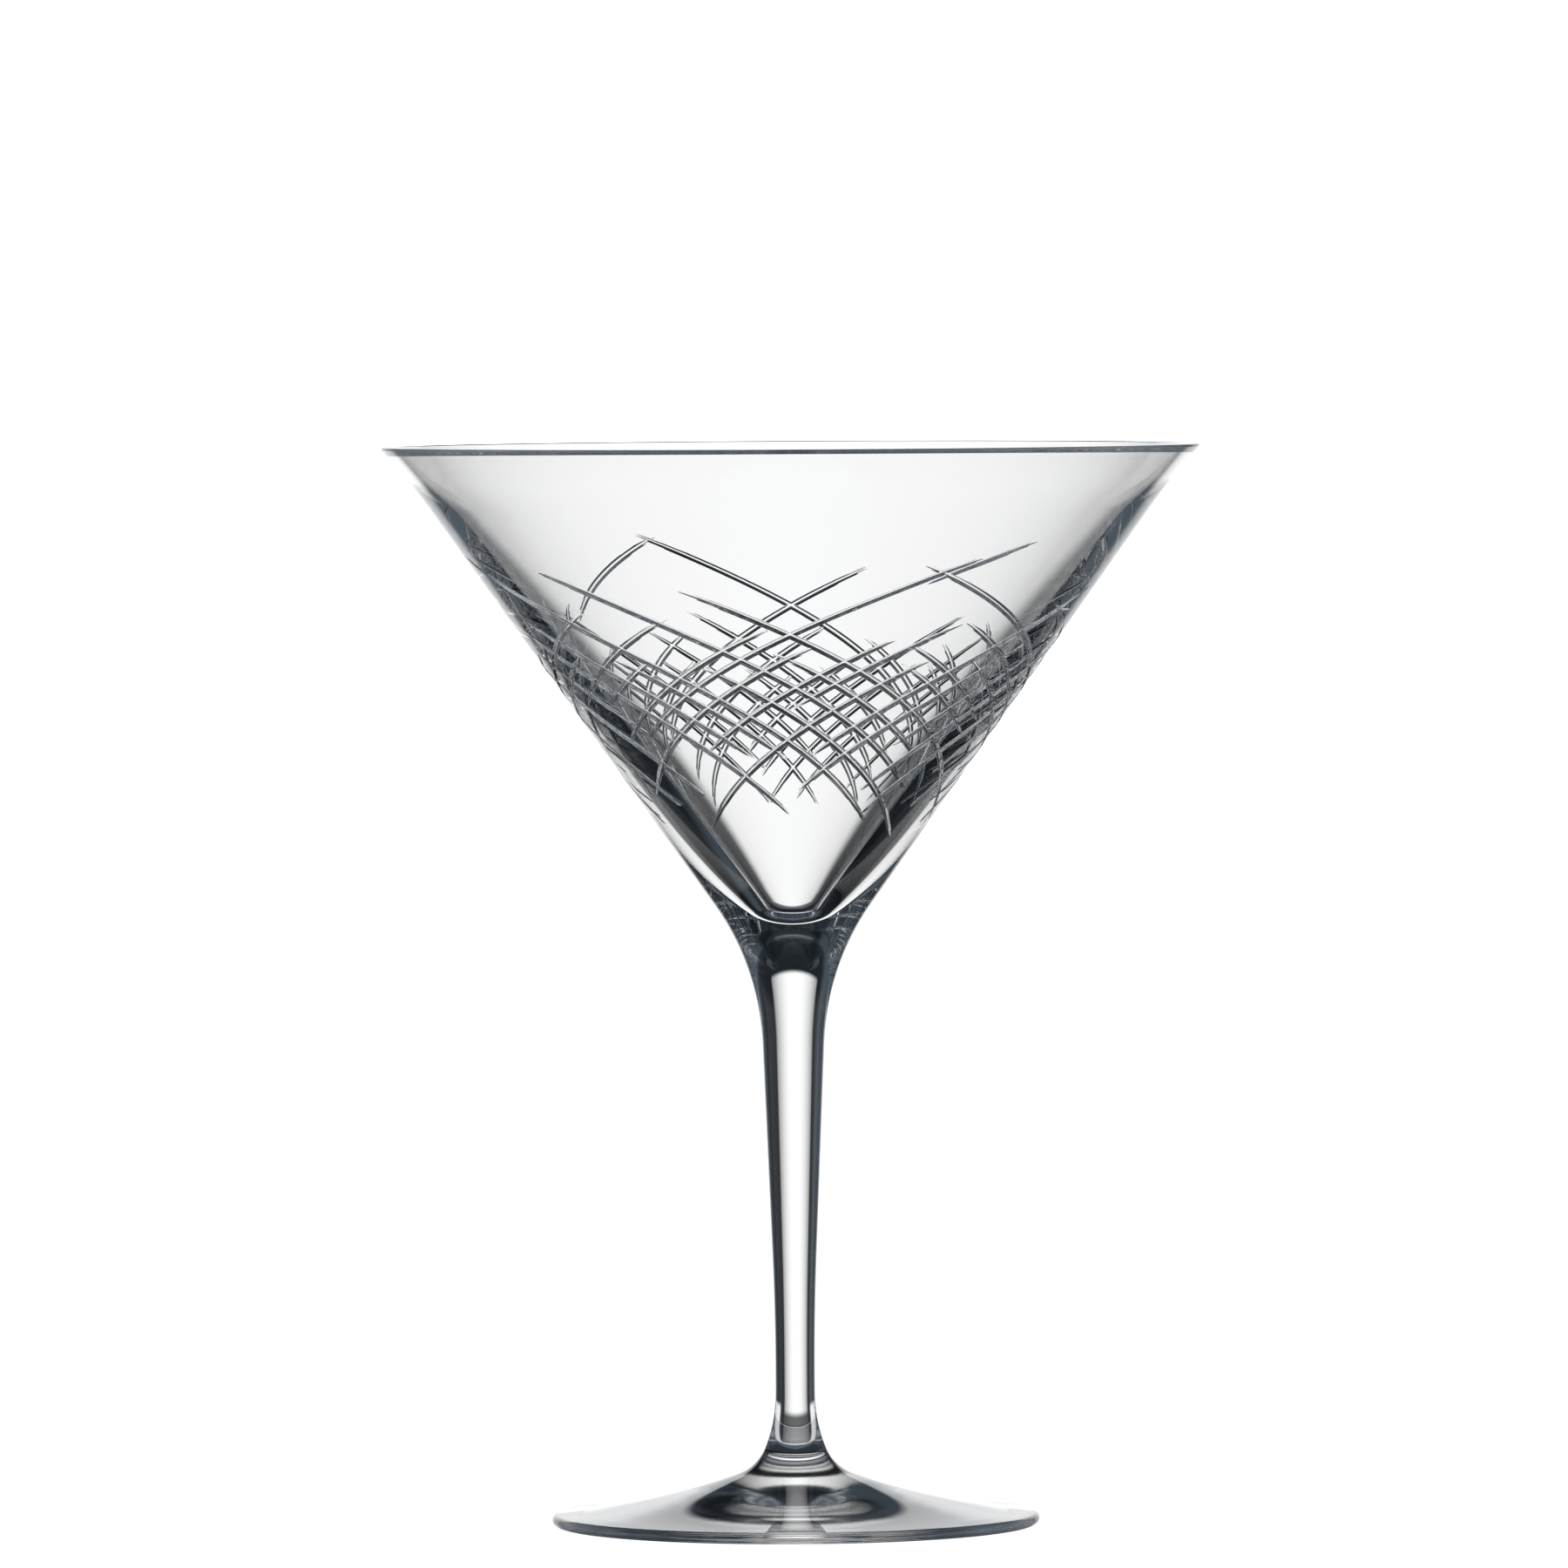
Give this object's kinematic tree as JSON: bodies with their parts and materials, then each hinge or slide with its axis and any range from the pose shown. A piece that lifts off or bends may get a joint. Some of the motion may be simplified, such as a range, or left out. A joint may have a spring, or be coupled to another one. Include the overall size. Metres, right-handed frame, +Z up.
{
  "type": "martini glass",
  "caption": "Stemmed cocktail glass: wide cone bowl with engraved arcs, thin drawn stem and a round foot.",
  "frame": {"origin": "centre of the ring the foot stands on, at table height", "axes": "+Z up the stem, along the axis of symmetry; X and Y are level"},
  "size_m": [0.128, 0.128, 0.169],
  "materials": {
    "bowl_crystal": "clear crystal, polished, with engraved arcs",
    "stem_crystal": "clear crystal, fire polished",
    "foot_crystal": "clear crystal, fire polished"
  },
  "bodies": {
    "root": {"bowl": "bowl_crystal", "stem": "stem_crystal", "foot": "foot_crystal"}
  },
  "joints": []
}
